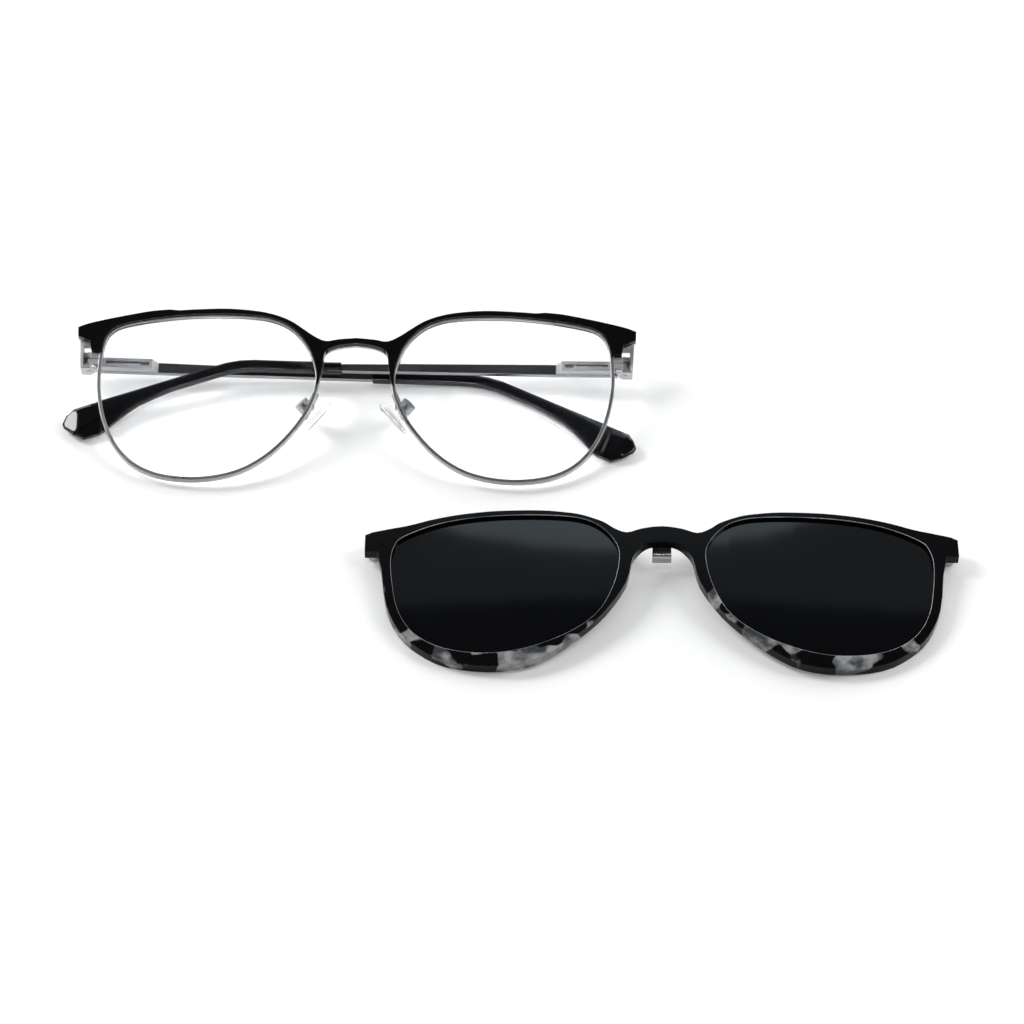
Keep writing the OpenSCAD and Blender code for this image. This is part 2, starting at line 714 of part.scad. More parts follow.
// Right half of the clip-on's outline, clockwise from the top of its bridge
CLIP_TOP = [[-0.966, 0.791], [-0.875, 0.885], [-0.761, 0.957], [-0.655, 1.008], [-0.522, 1.041],
    [-0.321, 1.071], [0, 1.076], [0.211, 1.061], [0.427, 1.028], [0.647, 0.97], [0.841, 0.898],
    [1.008, 0.857]];
CLIP_BELOW = [[1.083, 0.26], [1.03, -0.27], [0.913, -0.651], [0.742, -0.911], [0.495, -1.115],
    [0.127, -1.201], [-0.2, -1.15], [-0.45, -0.97], [-0.675, -0.715], [-0.881, -0.415]];
function clip_bridge(share, y) = [share * clip_gap / 2, y];
clip_bridge_top = 18.15;
clip_bridge_under = 13.8;
clip_lug_top = 17.2;
clip_lug_h = 4.8;
clip_lug_out = 6.2;
clip_half = concat(
    open_curve(concat([clip_bridge(0, clip_bridge_top), clip_bridge(0.218, clip_bridge_top - 0.2),
        clip_bridge(0.495, clip_bridge_top - 0.8), clip_bridge(0.812, clip_bridge_top - 1.85)],
        [for (p = CLIP_TOP) clip_point(p[0], p[1])],
        [[clip_edge + clip_lug_out - 1.7, clip_lug_top + 0.75]]), 3),
    [[clip_edge + clip_lug_out, clip_lug_top], [clip_edge + clip_lug_out, clip_lug_top - clip_lug_h],
        [clip_edge + clip_lug_out - 3, clip_lug_top - clip_lug_h - 0.2],
        [clip_edge + clip_lug_out - 3.5, clip_lug_top - clip_lug_h - 3.2]],
    open_curve(concat([for (p = CLIP_BELOW) clip_point(p[0], p[1])],
        [clip_bridge(0.842, clip_bridge_under - 12), clip_bridge(0.693, clip_bridge_under - 5.2),
        clip_bridge(0.515, clip_bridge_under - 2.2), clip_bridge(0.35, clip_bridge_under - 0.7),
        clip_bridge(0.18, clip_bridge_under - 0.1), clip_bridge(0, clip_bridge_under)]), 3));

// Places of the two fronts: the whole is centred on the origin, and the clip-on's rear edge
// and its end magnets' cups stand on the table
function reach_y(half, tilt, depth) = [for (p = half) p[1] * cos(tilt) - (wrap(p[0]) + depth) * sin(tilt)];
function reach_z(half, tilt, depth) = [for (p = half) p[1] * sin(tilt) + (wrap(p[0]) + depth) * cos(tilt)];
frame_x = (right_tip_reach - hinge_x - (clip_edge + clip_lug_out) - apart_x) / 2;
clip_x = frame_x + apart_x;
clip_y = -(max(reach_y(brow_half, frame_tilt, rim_rear)) + min(reach_y(clip_half, clip_tilt, 0)) + apart_y) / 2;
frame_y = clip_y + apart_y;
clip_z = -min(reach_z(clip_half, clip_tilt, -clip_deep));

// The end magnets' cups stand in the lugs and reach back to the table
end_cup_r = magnet_r + nest_gap + cup_wall;
end_cup_x = clip_edge + clip_lug_out - end_cup_r - 0.5;
end_cup_y = clip_lug_top - clip_lug_h / 2;
end_cup_rear = -(clip_z + (end_cup_y - end_cup_r) * sin(clip_tilt)) / cos(clip_tilt) + 0.05;
end_cup_front = wrap(end_cup_x) - 1.2;

module end_cup_place(side) {
    in_clip(side)
        translate([end_cup_x, end_cup_y, end_cup_rear])
            children();
}

module clip_front() {
    color([0.1, 0.1, 0.11])
        in_clip(RIGHT)
            difference() {
                intersection() {
                    prism(both_halves(clip_half));
                    shell(-clip_deep, 0);
                }
                for (m = [0, 1])
                    mirror([m, 0, 0]) {
                        prism(clip_curve);
                        intersection() {
                            prism(outline_moved(clip_curve, ledge));
                            shell(-clip_deep - 1, -ledge_lip);
                        }
                        translate([end_cup_x, end_cup_y, end_cup_front - 10])
                            cylinder(r = end_cup_r + nest_gap, h = 10, $fn = 64);
                    }
            }
}

module clip_lens(side) {
    color([0.03, 0.03, 0.035])
        in_clip(side)
            intersection() {
                prism(outline_moved(clip_curve, ledge - nest_gap));
                shell(-ledge_lip - dark_t, -ledge_lip);
            }
}

// The bridge magnet's case is seated on the rear of the bridge
case_top = clip_bridge_under + 0.8;
case_front = -clip_deep;
bridge_magnet_r = 1.3;
bridge_magnet_len = 1.4;

module bridge_magnet_case() {
    roll = 1.1;
    color([0.55, 0.55, 0.57])
        in_clip(RIGHT)
            difference() {
                translate([-case_w / 2, case_top, case_front])
                    rotate([90, 0, 90])
                        linear_extrude(case_w)
                            polygon(concat([[0, -case_deep], [0, -0.02], [-case_h + roll, -0.02]],
                                [for (a = [15:15:75])
                                    [-case_h + roll - roll * sin(a), -0.02 - roll + roll * cos(a)]],
                                [[-case_h, -0.02 - roll], [-case_h, -case_deep]]));
                translate([0, case_top - case_h / 2, case_front - case_deep - 1])
                    cylinder(r = bridge_magnet_r + nest_gap, h = bridge_magnet_len + 1, $fn = 64);
            }
}

module bridge_magnet() {
    color([0.5, 0.5, 0.52])
        in_clip(RIGHT)
            translate([0, case_top - case_h / 2, case_front - case_deep])
                cylinder(r = bridge_magnet_r, h = bridge_magnet_len - nest_gap, $fn = 64);
}

module magnet_cup(side) {
    color([0.5, 0.5, 0.52])
        end_cup_place(side)
            difference() {
                cylinder(r = end_cup_r, h = end_cup_front - end_cup_rear - nest_gap, $fn = 64);
                translate([0, 0, -1])
                    cylinder(r = magnet_r + nest_gap, h = magnet_len + 1, $fn = 64);
            }
}

module magnet(side) {
    color([0.6, 0.6, 0.62])
        end_cup_place(side)
            cylinder(r = magnet_r, h = magnet_len - nest_gap, $fn = 64);
}

brow_plate();
rim_wire(LEFT);  // left_rim_wire
rim_wire(RIGHT);  // right_rim_wire
demo_lens(LEFT);  // left_demo_lens
demo_lens(RIGHT);  // right_demo_lens
rim_lock(LEFT);  // left_rim_lock
rim_lock(RIGHT);  // right_rim_lock
rim_screw(LEFT);  // left_rim_screw
rim_screw(RIGHT);  // right_rim_screw
endpiece(LEFT);  // left_endpiece
endpiece(RIGHT);  // right_endpiece
hinge_screw(LEFT);  // left_hinge_screw
hinge_screw(RIGHT);  // right_hinge_screw
hinge_tongue(LEFT);  // left_hinge_tongue
hinge_tongue(RIGHT);  // right_hinge_tongue
hinge_spring(LEFT);  // left_hinge_spring
hinge_spring(RIGHT);  // right_hinge_spring
hinge_box(LEFT);  // left_hinge_box
hinge_box(RIGHT);  // right_hinge_box
temple_arm(LEFT);  // left_temple_arm
temple_arm(RIGHT);  // right_temple_arm
temple_tip(LEFT);  // left_temple_tip
temple_tip(RIGHT);  // right_temple_tip
pad_arm(LEFT);  // left_pad_arm
pad_arm(RIGHT);  // right_pad_arm
pad_screw(LEFT);  // left_pad_screw
pad_screw(RIGHT);  // right_pad_screw
nose_pad(LEFT);  // left_nose_pad
nose_pad(RIGHT);  // right_nose_pad
clip_front();
clip_lens(LEFT);  // left_clip_lens
clip_lens(RIGHT);  // right_clip_lens
bridge_magnet_case();
bridge_magnet();
magnet_cup(LEFT);  // left_magnet_cup
magnet_cup(RIGHT);  // right_magnet_cup
magnet(LEFT);  // left_magnet
magnet(RIGHT);  // right_magnet
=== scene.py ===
# %% [markdown]
# # Eyeglasses with a magnetic clip-on
# A pair of folded eyeglasses lies on a white table, and its dark clip-on lies beside it.
# The construction model gives every solid its place and its size. Here the pieces get
# their looks: rounded edges, enamel, bare metal, clear lenses and patterned plastic.

# %% Load the construction model
import json
from math import cos, pi, radians, sin

import bpy
from mathutils import Matrix, Vector

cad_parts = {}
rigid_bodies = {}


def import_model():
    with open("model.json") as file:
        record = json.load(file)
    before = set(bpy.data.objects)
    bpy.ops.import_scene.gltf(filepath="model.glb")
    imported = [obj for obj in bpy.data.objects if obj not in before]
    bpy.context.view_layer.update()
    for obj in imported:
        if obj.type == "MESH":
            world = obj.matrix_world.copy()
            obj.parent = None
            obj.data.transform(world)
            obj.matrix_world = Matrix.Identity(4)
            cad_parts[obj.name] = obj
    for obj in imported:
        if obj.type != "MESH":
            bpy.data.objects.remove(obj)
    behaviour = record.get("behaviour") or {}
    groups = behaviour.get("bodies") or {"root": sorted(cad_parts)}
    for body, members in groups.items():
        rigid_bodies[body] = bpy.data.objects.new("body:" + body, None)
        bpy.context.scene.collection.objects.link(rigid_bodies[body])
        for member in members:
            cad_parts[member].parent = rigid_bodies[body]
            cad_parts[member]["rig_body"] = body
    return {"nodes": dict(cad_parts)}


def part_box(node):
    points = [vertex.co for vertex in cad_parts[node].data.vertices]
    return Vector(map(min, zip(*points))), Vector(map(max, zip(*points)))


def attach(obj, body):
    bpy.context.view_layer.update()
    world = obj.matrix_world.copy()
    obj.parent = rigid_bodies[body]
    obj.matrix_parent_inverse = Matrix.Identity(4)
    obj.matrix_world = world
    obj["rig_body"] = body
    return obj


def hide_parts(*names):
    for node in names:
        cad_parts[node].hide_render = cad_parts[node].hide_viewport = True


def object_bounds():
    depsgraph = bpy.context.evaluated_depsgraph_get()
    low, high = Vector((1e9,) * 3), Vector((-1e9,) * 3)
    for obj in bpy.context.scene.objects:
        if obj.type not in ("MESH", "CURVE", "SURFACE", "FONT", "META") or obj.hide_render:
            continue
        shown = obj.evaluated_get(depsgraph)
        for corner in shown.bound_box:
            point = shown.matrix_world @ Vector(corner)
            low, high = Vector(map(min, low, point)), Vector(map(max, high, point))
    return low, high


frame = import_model()
cad_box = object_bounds()
scene = bpy.context.scene
MM = 0.001
print("solids in the frame:", len(frame["nodes"]))

# %% [markdown]
# ## Where the two fronts lie
# The eyeglasses and the clip-on each lean on the table. A point of a front is easiest to
# name in that front's own directions: across, up the front, and out of its face. This
# helper turns such a point into a place in the scene.

# %% Places on the two fronts
FRAME_AT, FRAME_TILT = Vector((-35.5961, 28.8155, 9.9)) * MM, radians(16.5)
CLIP_AT, CLIP_TILT = Vector((37.3039, -31.0845, 6.51263)) * MM, radians(6.5)
WRAP = 750 * MM


def front_matrix(at, tilt):
    return Matrix.Translation(at) @ Matrix.Rotation(tilt, 4, "X")


frame_front = front_matrix(FRAME_AT, FRAME_TILT)
clip_front = front_matrix(CLIP_AT, CLIP_TILT)
print("eyeglasses' front at", tuple(round(v, 4) for v in FRAME_AT))

# %% [markdown]
# ## Camera
# The photograph was taken with a long lens from in front and 45 degrees above. A long
# lens keeps the near and far pieces almost the same size, so the camera stands back.

# %% Camera
CAMERA_AT = (0.0024439, -0.6016087, 0.6012542)
LOOK_DOWN, ROLL = radians(45), radians(0.505)
FOCAL_PIXELS, IMAGE_WIDE, SENSOR_WIDE = 3595.5, 1024, 36

camera = bpy.data.objects.new("camera", bpy.data.cameras.new("camera"))
scene.collection.objects.link(camera)
turn = Matrix.Rotation(LOOK_DOWN, 4, "X") @ Matrix.Rotation(ROLL, 4, "Z")
camera.matrix_world = Matrix.Translation(CAMERA_AT) @ turn
camera.data.sensor_width = SENSOR_WIDE
camera.data.lens = SENSOR_WIDE * FOCAL_PIXELS / IMAGE_WIDE
camera.data.clip_start = 0.05
scene.camera = camera
print("lens, mm:", round(camera.data.lens, 1))

# %% [markdown]
# ## Shader maths
# A finish is easier to read as a sum than as a web of nodes. This small class wraps a
# node's output, so that an expression such as `1 - mask` adds the Math node it needs.


# %% Sockets as numbers
class Value:
    def __init__(self, nodes, socket):
        self.nodes, self.socket = nodes, socket

    def math(self, operation, *others):
        inputs = dict(enumerate((self,) + others))
        return self.nodes.node("ShaderNodeMath", {"operation": operation}, inputs)

    def __add__(self, other):
        return self.math("ADD", other)

    def __sub__(self, other):
        return self.math("SUBTRACT", other)

    def __rsub__(self, other):
        return self.math("MULTIPLY", -1).math("ADD", other)

    def __mul__(self, other):
        return self.math("MULTIPLY", other)

    __radd__, __rmul__ = __add__, __mul__

    def step(self, low, high):
        """0 below low and 1 above high, with a soft change between them."""
        settings = {"interpolation_type": "SMOOTHSTEP"}
        inputs = {"Value": self, "From Min": low, "From Max": high}
        return self.nodes.node("ShaderNodeMapRange", settings, inputs)


# %% [markdown]
# ## Nodes
# `node` adds any node to a tree: its settings come first, then the values or links of its
# inputs. The room's light and every finish are made with it.


# %% Nodes from one method
class Nodes:
    def __init__(self, tree):
        self.tree = tree

    def node(self, kind, settings, inputs, output=0):
        made = self.tree.nodes.new(kind)
        for key, value in settings.items():
            setattr(made, key, value)
        for key, value in inputs.items():
            if isinstance(value, Value):
                self.tree.links.new(value.socket, made.inputs[key])
            else:
                made.inputs[key].default_value = value
        return Value(self, made.outputs[output])

    def axes(self, vector):
        split = self.tree.nodes.new("ShaderNodeSeparateXYZ")
        self.tree.links.new(vector.socket, split.inputs[0])
        return [Value(self, split.outputs[k]) for k in range(3)]

    def ray(self, kind):
        """1 for a ray of one kind, such as Camera or Shadow, and 0 for the others."""
        return self.node("ShaderNodeLightPath", {}, {}, f"Is {kind} Ray")


# %% [markdown]
# ## A finish
# Each finish is one Principled shader with a few nodes that vary it over the surface. This
# class holds the patterns that the finishes share.


# %% Materials from one class
class Finish(Nodes):
    def __init__(self, name):
        self.material = bpy.data.materials.new(name)
        self.material.use_nodes = True
        super().__init__(self.material.node_tree)
        self.tree.nodes.clear()
        self.out = self.tree.nodes.new("ShaderNodeOutputMaterial")

    def place(self, matrix=None):
        """Object coordinates, in metres, or in a front's own directions."""
        here = self.node("ShaderNodeTexCoord", {}, {}, "Object")
        if matrix is None:
            return here
        inverse = matrix.inverted()
        settings = {"vector_type": "POINT"}
        inputs = {
            "Vector": here,
            "Location": inverse.to_translation(),
            "Rotation": inverse.to_euler(),
        }
        return self.node("ShaderNodeMapping", settings, inputs)

    def noise(self, vector, scale, detail=2.0, roughness=0.5):
        inputs = {"Vector": vector, "Scale": scale, "Detail": detail, "Roughness": roughness}
        return self.node("ShaderNodeTexNoise", {}, inputs)

    def blend(self, share, low, high):
        """A colour between two colours."""
        inputs = {0: share, 6: low, 7: high}
        return self.node("ShaderNodeMix", {"data_type": "RGBA"}, inputs, 2)

    def bump(self, height, distance, strength=1.0):
        inputs = {"Height": height, "Distance": distance, "Strength": strength}
        return self.node("ShaderNodeBump", {}, inputs)

    def principled(self, **inputs):
        inputs = {key.replace("_", " "): value for key, value in inputs.items()}
        return self.node("ShaderNodeBsdfPrincipled", {}, inputs)

    def mix(self, share, first, second):
        return self.node("ShaderNodeMixShader", {}, {0: share, 1: first, 2: second})

    def clear_to_shadows(self, shader):
        """Lamps shine through, so that a clear piece throws only a pale shadow."""
        through = self.node("ShaderNodeBsdfTransparent", {}, {"Color": (0.93, 0.94, 0.95, 1)})
        return self.mix(self.ray("Shadow"), shader, through)

    def done(self, shader):
        self.tree.links.new(shader.socket, self.out.inputs["Surface"])
        return self.material


# %% [markdown]
# ## Table and light
# The object lies on a plain white table. The table looks white to the camera, and in
# metal and glass, and still takes the soft grey shadows that seat the pieces on it.

# %% White table
TABLE_WIDE, TABLE_GLOW = 1.9, 0.15
TABLE_UNDER = 0.02 * MM
WHITE = (1, 1, 1, 1)

bpy.ops.object.select_all(action="DESELECT")
bpy.ops.mesh.primitive_plane_add(size=TABLE_WIDE, location=(0, 0, cad_box[0][2] - TABLE_UNDER))
table = bpy.context.object
table.name = "table"
top = Finish("white_table")
seen = (top.ray("Camera") + top.ray("Glossy") + top.ray("Transmission")).math("MINIMUM", 1)
paper = top.node("ShaderNodeBsdfDiffuse", {}, {"Color": (0.86, 0.86, 0.86, 1)})
glow = top.node("ShaderNodeEmission", {}, {"Color": WHITE, "Strength": seen * TABLE_GLOW})
table.data.materials.append(top.done(top.node("ShaderNodeAddShader", {}, {0: paper, 1: glow})))
print("table at height, mm:", round(cad_box[0][2] / MM, 3))

# %% [markdown]
# Three soft lamps light the table from behind and from both sides. The one behind is large
# and so stays dim in what mirrors it at a low angle. A thin strip over the front is there
# for the rounded edges. Two dim round cards hang where the dark lenses look: they are the
# cool sheen in the upper part of the lenses.

# %% Lamps and cards


def soft_lamp(name, at, size, power, shape="RECTANGLE", colour=(1, 1, 1), aim=(0, 0, 0)):
    lamp = bpy.data.objects.new(name, bpy.data.lights.new(name, "AREA"))
    scene.collection.objects.link(lamp)
    lamp.data.shape = shape
    lamp.data.size, lamp.data.size_y = size
    lamp.data.energy = power
    lamp.data.color = colour
    lamp.location = at
    lamp.rotation_euler = (Vector(aim) - Vector(at)).to_track_quat("-Z", "Y").to_euler()
    return lamp


CARD_AWAY = 1.2


def card_toward(name, height, size, glow, colour):
    """A dim card that faces the clip-on, at a height in degrees over the table's far side."""
    at = CLIP_AT + CARD_AWAY * Vector((0, cos(radians(height)), sin(radians(height))))
    power = glow * pi * size[0] * size[1]
    return soft_lamp(name, at, size, power, "ELLIPSE", colour, CLIP_AT)


soft_lamp("back_lamp", (0.1, 1.05, 0.6), (2.4, 0.85), 9.5)
soft_lamp("left_lamp", (-0.895, 0.386, 0.833), (0.4, 0.5), 9)
soft_lamp("right_lamp", (0.95, 0.1, 0.9), (0.5, 0.7), 5.5)
soft_lamp("front_strip", (0, -0.28, 1.05), (0.9, 0.03), 1.6)
card_toward("sheen_card", 50.3, (0.8, 0.33), 0.8, (0.75, 0.9, 1))
card_toward("faint_card", 51.6, (1.6, 0.33), 0.13, (0.85, 0.95, 1))

# %% [markdown]
# The world is the room round the table: pale walls under a dark ceiling, because black
# enamel shows only what it mirrors. The camera gets plain white there, as the photograph's
# background is. Rays that passed a lens don't, because what lies under a clear lens would
# then mirror white as well.

# %% World
WALLS, CEILING = 0.75, 0.05
WALLS_END, CEILING_START = 0.25, 0.6

world = bpy.data.worlds.new("studio")
world.use_nodes = True
room = Nodes(world.node_tree)
across, along, up = room.axes(room.node("ShaderNodeTexCoord", {}, {}, "Generated"))
light = WALLS - (WALLS - CEILING) * up.step(WALLS_END, CEILING_START)
light = light.math("MAXIMUM", room.ray("Camera"))
room.tree.links.new(light.socket, room.tree.nodes["Background"].inputs["Color"])
scene.world = world
scene.view_settings.view_transform = "Standard"
print("lamps:", len(bpy.data.lights))

# %% [markdown]
# ## Metals
# The rims, hinges and screws are bare nickel. Real nickel isn't one even grey: fine
# polishing lines and small changes of gloss break up what it mirrors.

# %% Bright and satin silver


def metal(name, colour, rough, grain):
    finish = Finish(name)
    here = finish.place()
    cloud = finish.noise(here, 350, 3)
    lines = finish.noise(here, 2600, 2)
    tint = finish.blend(cloud, [c * 0.9 for c in colour] + [1], list(colour) + [1])
    return finish.done(
        finish.principled(
            Base_Color=tint,
            Metallic=1.0,
            Roughness=cloud * (rough * 0.5) + rough * 0.75,
            Normal=finish.bump(lines, grain),
        )
    )


bright_silver = metal("bright_silver", (0.42, 0.42, 0.43), 0.3, 0.002 * MM)
satin_silver = metal("satin_silver", (0.55, 0.55, 0.56), 0.4, 0.003 * MM)
magnet_steel = metal("magnet_steel", (0.42, 0.42, 0.44), 0.2, 0.003 * MM)
print("metals:", bright_silver.name, satin_silver.name, magnet_steel.name)

# %% [markdown]
# ## Enamel
# The brow is metal under glossy black enamel, and only its rear edge is bare. The
# enamel's edge is a line at one depth behind the curved face, so the finish works that
# depth out from the place: the height over the front's curve.

# %% Black enamel on the brow
BARE_BELOW, BARE_BLEND = -0.35 * MM, 0.05 * MM


def depth_behind(finish, matrix):
    x, y, z = finish.axes(finish.place(matrix))
    return z + x * x * (0.5 / WRAP)


def brow_enamel():
    finish = Finish("black_enamel")
    here = finish.place()
    wave = finish.noise(here, 240, 2)
    bare = 1 - depth_behind(finish, frame_front).step(BARE_BELOW - BARE_BLEND, BARE_BELOW)
    return finish.done(
        finish.principled(
            Base_Color=finish.blend(bare, (0.002, 0.002, 0.0025, 1), (0.6, 0.6, 0.61, 1)),
            Metallic=bare,
            Roughness=wave * 0.06 + 0.13 + bare * 0.15,
            Specular_IOR_Level=0.35,
            Normal=finish.bump(wave, 0.02 * MM, 0.35),
        )
    )


black_enamel = brow_enamel()
print("bare metal below, mm:", BARE_BELOW / MM)

# %% [markdown]
# The temple arms have thinner enamel, dark grey rather than black, with a satin face.

# %% Dark enamel on the temple arms


def arm_finish():
    finish = Finish("arm_enamel")
    here = finish.place()
    streak = finish.noise(here, 900, 3)
    return finish.done(
        finish.principled(
            Base_Color=finish.blend(streak, (0.022, 0.023, 0.025, 1), (0.038, 0.039, 0.042, 1)),
            Metallic=0.35,
            Roughness=streak * 0.12 + 0.24,
            Normal=finish.bump(streak, 0.01 * MM, 0.4),
        )
    )


arm_enamel = arm_finish()
print("enamels:", black_enamel.name, arm_enamel.name)

# %% [markdown]
# ## Plastics and glass
# The sleeves are polished black acetate. The clip-on's front is black above, and lower
# down it fades to clear grey plastic with black patches, so its finish mixes two
# shaders: a black one, and a glassy one. Noise with a sharp edge makes the patches.

# %% Black sleeves


def sleeve_finish():
    finish = Finish("black_sleeve")
    here = finish.place()
    wave = finish.noise(here, 160, 2)
    return finish.done(
        finish.principled(
            Base_Color=finish.blend(wave, (0.0015, 0.0015, 0.002, 1), (0.004, 0.004, 0.005, 1)),
            Roughness=wave * 0.06 + 0.1,
            Normal=finish.bump(wave, 0.04 * MM, 0.3),
        )
    )


black_sleeve = sleeve_finish()
print("sleeve finish:", black_sleeve.name)

# %% The clip-on's patterned plastic
PATTERN_FROM, PATTERN_TO = 5 * MM, -10 * MM


def clip_finish():
    finish = Finish("clip_plastic")
    local = finish.place(clip_front)
    x, y, z = finish.axes(local)
    low = 1 - y.step(PATTERN_TO, PATTERN_FROM)
    patch = finish.noise(local, 120, 1.5, 0.4)
    fine = finish.noise(local, 320, 3)
    streak = finish.noise(local, 210, 2, 0.6)
    clear = (patch + fine * 0.10 + low * 0.18 - 0.22).step(0.50, 0.53) * low.step(0.05, 0.25)
    black = finish.principled(
        Base_Color=finish.blend(fine, (0.0015, 0.0015, 0.002, 1), (0.003, 0.003, 0.0035, 1)),
        Roughness=fine * 0.05 + 0.1,
        Specular_IOR_Level=0.12,
    )
    smoke = finish.blend(streak.step(0.38, 0.68), (0.09, 0.095, 0.1, 1), (0.62, 0.63, 0.64, 1))
    glassy = finish.principled(
        Base_Color=smoke,
        Roughness=fine * 0.05 + 0.07,
        IOR=1.48,
        Transmission_Weight=0.55,
    )
    return finish.done(finish.mix(clear, black, glassy))


clip_plastic = clip_finish()
print("pattern fades over, mm:", (PATTERN_FROM - PATTERN_TO) / MM)

# %% [markdown]
# Round each of its openings the polished edge shows a fine pale line. That line is a painted
# highlight: the edge faces get a grey colour, brighter in some places than in others, so this
# finish runs between two greys.

# %% Painted highlight on the edge round the clip-on's lenses


def painted_edge_highlight():
    finish = Finish("clip_edge")
    streak = finish.noise(finish.place(clip_front), 90, 2)
    # Painted highlight: streaks of grey base colour stand in for the lamps' reflection along the
    # edge.
    shine = streak.step(0.35, 0.65)
    return finish.done(
        finish.principled(
            Base_Color=finish.blend(shine, (0.12, 0.12, 0.125, 1), (0.42, 0.42, 0.43, 1)),
            Roughness=shine * 0.1 + 0.15,
        )
    )


clip_edge = painted_edge_highlight()
print("plastics:", clip_plastic.name, clip_edge.name)

# %% [markdown]
# The clear lenses are nearly invisible: they show in their rims as faint reflections.
# The clip-on's lenses are almost black, with a cool sheen where they mirror the cards. The
# nose pads are clear silicone, a little softer in gloss than the lenses.

# %% Lenses and nose pads


def clear_lens_finish():
    finish = Finish("clear_lens")
    film = finish.noise(finish.place(), 60, 2)
    glass = finish.principled(
        Base_Color=finish.blend(film, (0.97, 0.98, 0.985, 1), (0.99, 0.995, 1, 1)),
        Roughness=film * 0.01,
        IOR=1.12,
        Transmission_Weight=1.0,
    )
    return finish.done(finish.clear_to_shadows(glass))


def dark_lens_finish():
    finish = Finish("dark_lens")
    here = finish.place(clip_front)
    film = finish.noise(here, 45, 2)
    return finish.done(
        finish.principled(
            Base_Color=finish.blend(film, (0.0008, 0.001, 0.0014, 1), (0.0016, 0.002, 0.0026, 1)),
            Roughness=film * 0.02 + 0.03,
            IOR=1.52,
        )
    )


def pad_finish():
    finish = Finish("pad_silicone")
    cloud = finish.noise(finish.place(), 700, 3)
    soft = finish.principled(
        Base_Color=finish.blend(cloud, (0.93, 0.93, 0.92, 1), (0.98, 0.98, 0.97, 1)),
        Roughness=cloud * 0.1 + 0.16,
        IOR=1.16,
        Transmission_Weight=1.0,
    )
    return finish.done(finish.clear_to_shadows(soft))


clear_lens, dark_lens, pad_silicone = clear_lens_finish(), dark_lens_finish(), pad_finish()
print("finishes:", len(bpy.data.materials))

# %% [markdown]
# ## Rounded edges
# Nothing that is stamped, polished or moulded has knife edges, and its highlights run
# along the small rounds. Each main piece is a copy of its solid: its doubled points are
# merged, its flat faces are made whole, and a Bevel modifier rounds its sharp edges. A
# Weighted Normal modifier keeps the large faces flat in the light. A plane may cut off a
# facet first, and the bevel's new faces may take a finish of their own.

# %% Rounded copies of solids
DOUBLES, FLAT_WITHIN = 0.002 * MM, radians(0.5)
FACET_ROUND = 0.7 * MM


def only(piece):
    bpy.ops.object.select_all(action="DESELECT")
    piece.select_set(True)
    bpy.context.view_layer.objects.active = piece


def rounded(node, materials, width, segments=3, angle=32, facet=None, edge=-1):
    solid = frame["nodes"][node]
    piece = bpy.data.objects.new(node + "_shape", solid.data.copy())
    scene.collection.objects.link(piece)
    only(piece)
    bpy.ops.object.mode_set(mode="EDIT")
    bpy.ops.mesh.select_all(action="SELECT")
    bpy.ops.mesh.remove_doubles(threshold=DOUBLES)
    bpy.ops.mesh.dissolve_limited(angle_limit=FLAT_WITHIN)
    if facet:
        bpy.ops.mesh.select_all(action="SELECT")
        bpy.ops.mesh.bisect(plane_co=facet[0], plane_no=facet[1], use_fill=True, clear_outer=True)
        bpy.ops.mesh.bevel(offset=FACET_ROUND, segments=3)
    bpy.ops.object.mode_set(mode="OBJECT")
    piece.data.materials.clear()
    for material in materials:
        piece.data.materials.append(material)
    bevel = piece.modifiers.new("round", "BEVEL")
    bevel.limit_method, bevel.angle_limit = "ANGLE", radians(angle)
    bevel.width, bevel.segments = width * MM, segments
    bevel.use_clamp_overlap, bevel.material = True, edge
    bpy.ops.object.modifier_apply(modifier=bevel.name)
    bpy.ops.object.shade_smooth_by_angle(angle=radians(angle))
    level = piece.modifiers.new("flat_faces", "WEIGHTED_NORMAL")
    level.keep_sharp, level.weight = True, 90
    bpy.ops.object.modifier_apply(modifier=level.name)
    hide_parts(node)
    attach(piece, solid["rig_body"])
    return piece


brow = rounded("brow_plate", [black_enamel], 0.28)
print("brow faces:", len(brow.data.polygons))

# %% [markdown]
# The rims, the lock blocks under the brow's ends, and the hinges' plates are small and
# polished, so they get narrow rounds. The soft nose pads get a wide one.

# %% Rims, locks, hinges and pads
SIDES = ("left", "right")
for side in SIDES:
    rounded(side + "_rim_wire", [bright_silver], 0.2)
    rounded(side + "_rim_lock", [satin_silver], 0.12)
    rounded(side + "_endpiece", [satin_silver], 0.12)
    rounded(side + "_hinge_box", [satin_silver], 0.14)
    rounded(side + "_hinge_tongue", [satin_silver], 0.06)
    rounded(side + "_pad_arm", [bright_silver], 0.2)
    pad = rounded(side + "_nose_pad", [pad_silicone], 0.4, angle=22)
    print(pad.name, "faces:", len(pad.data.polygons))

# %% [markdown]
# A temple arm is a flat strip of metal. Its broad faces are enamelled and its long
# edges are bare, so the faces that look up or down the front get the second finish.

# %% Temple arms
UP_FRONT = Vector((0, cos(FRAME_TILT), sin(FRAME_TILT)))


def bare_edges(piece):
    for face in piece.data.polygons:
        face.material_index = int(abs(face.normal.dot(UP_FRONT)) > 0.5)


for side in SIDES:
    arm = rounded(side + "_temple_arm", [arm_enamel, bright_silver], 0.15)
    bare_edges(arm)
    print(arm.name, "bare faces:", sum(face.material_index for face in arm.data.polygons))

# %% [markdown]
# A sleeve ends in a polished facet: the last few millimetres of its inner face slope down
# to the end. A plane across the end cuts the slope. Each tip lies at its own angle, so the
# plane's tilt is given for each side.

# %% Sleeves with their end facets
FACET_LONG, FACET_NEAR = 4 * MM, 3 * MM
FACET_TILT = {"left": 8, "right": 20}


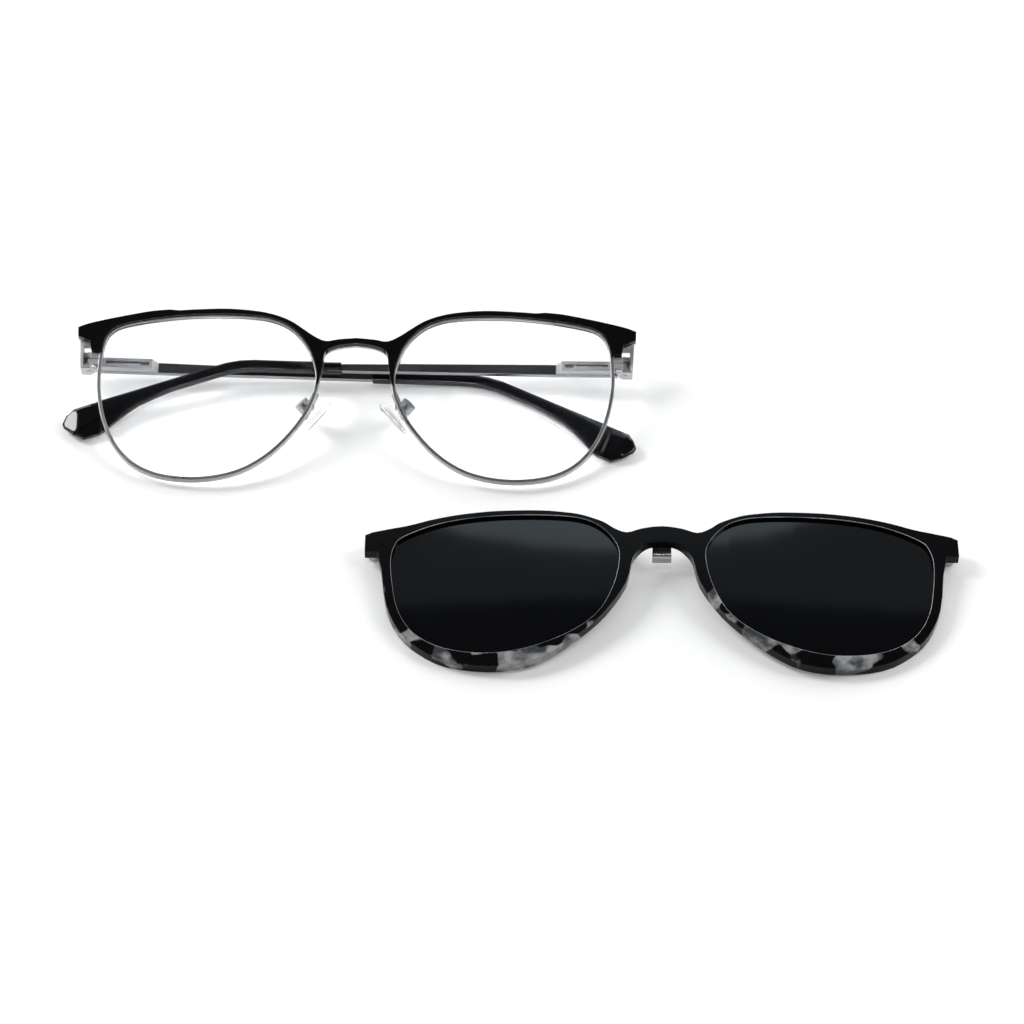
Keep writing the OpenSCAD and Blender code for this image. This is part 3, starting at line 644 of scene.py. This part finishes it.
def end_facet(side):
    """A point and the direction of the plane, for bisect."""
    far = 1 if side == "left" else -1
    corners = frame["nodes"][side + "_temple_tip"].data.vertices
    points = [frame_front.inverted() @ corner.co for corner in corners]
    start = max(far * p.x for p in points) - FACET_LONG
    top = max(p.z for p in points if abs(far * p.x - start) < FACET_NEAR)
    tilt = radians(FACET_TILT[side])
    normal = frame_front.to_3x3() @ Vector((far * sin(tilt), 0, cos(tilt)))
    return frame_front @ Vector((far * start, 0, top)), normal


for side in SIDES:
    facet = end_facet(side)
    tip = rounded(side + "_temple_tip", [black_sleeve], 0.25, 2, 20, facet)
    print(tip.name, "faces:", len(tip.data.polygons))

# %% [markdown]
# The clip-on's front gets its rounds and, round each opening, a painted highlight on its edge.
# The bevel gives all its new faces the second finish, the painted highlight. Those that don't
# look into an opening from the front get the first one back.

# %% The clip-on's front
LENS_BOX = {side: [Vector(corner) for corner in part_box(side + "_clip_lens")] for side in SIDES}
FACES_IN = 0.1


# The bevel faces that look into an opening from the front get the painted highlight colour.
def on_painted_highlight(face):
    low, high = LENS_BOX["left" if face.center.x < CLIP_AT.x else "right"]
    inward = clip_front.to_3x3().inverted()
    normal = inward @ face.normal
    to_lens = inward @ ((low + high) / 2 - face.center)
    near = abs(to_lens.x) < (high.x - low.x) / 2
    looks_in = normal.xy.dot(to_lens.xy) > FACES_IN * to_lens.length
    return near and looks_in and normal.z > FACES_IN


front = rounded("clip_front", [clip_plastic, clip_edge], 0.3, edge=1)
for face in front.data.polygons:
    face.material_index *= on_painted_highlight(face)
print("faces on the pale lines:", sum(face.material_index for face in front.data.polygons))

# %% [markdown]
# Its lenses and the magnets' case and cups are small and crisp, with the narrowest rounds.

# %% The clip-on's lenses and magnets
rounded("bridge_magnet_case", [bright_silver], 0.15)
for side in SIDES:
    lens = rounded(side + "_clip_lens", [dark_lens], 0.1, 2)
    rounded(side + "_magnet_cup", [magnet_steel], 0.1)
    print(lens.name, "faces:", len(lens.data.polygons))

# %% [markdown]
# ## Carried-over solids
# Screws, springs, magnets and clear lenses keep their solids' shapes and only take a
# finish.

# %% Finishes for the other solids
KEPT = {
    "demo_lens": clear_lens,
    "rim_screw": satin_silver,
    "hinge_screw": satin_silver,
    "hinge_spring": satin_silver,
    "pad_screw": satin_silver,
    "magnet": magnet_steel,
    "bridge_magnet": magnet_steel,
}
carried = [name for name, solid in frame["nodes"].items() if not solid.hide_render]
for name in carried:
    kind = name if name in KEPT else name.split("_", 1)[1]
    materials = frame["nodes"][name].data.materials
    materials.clear()
    materials.append(KEPT[kind])
print("solids carried over:", len(carried))
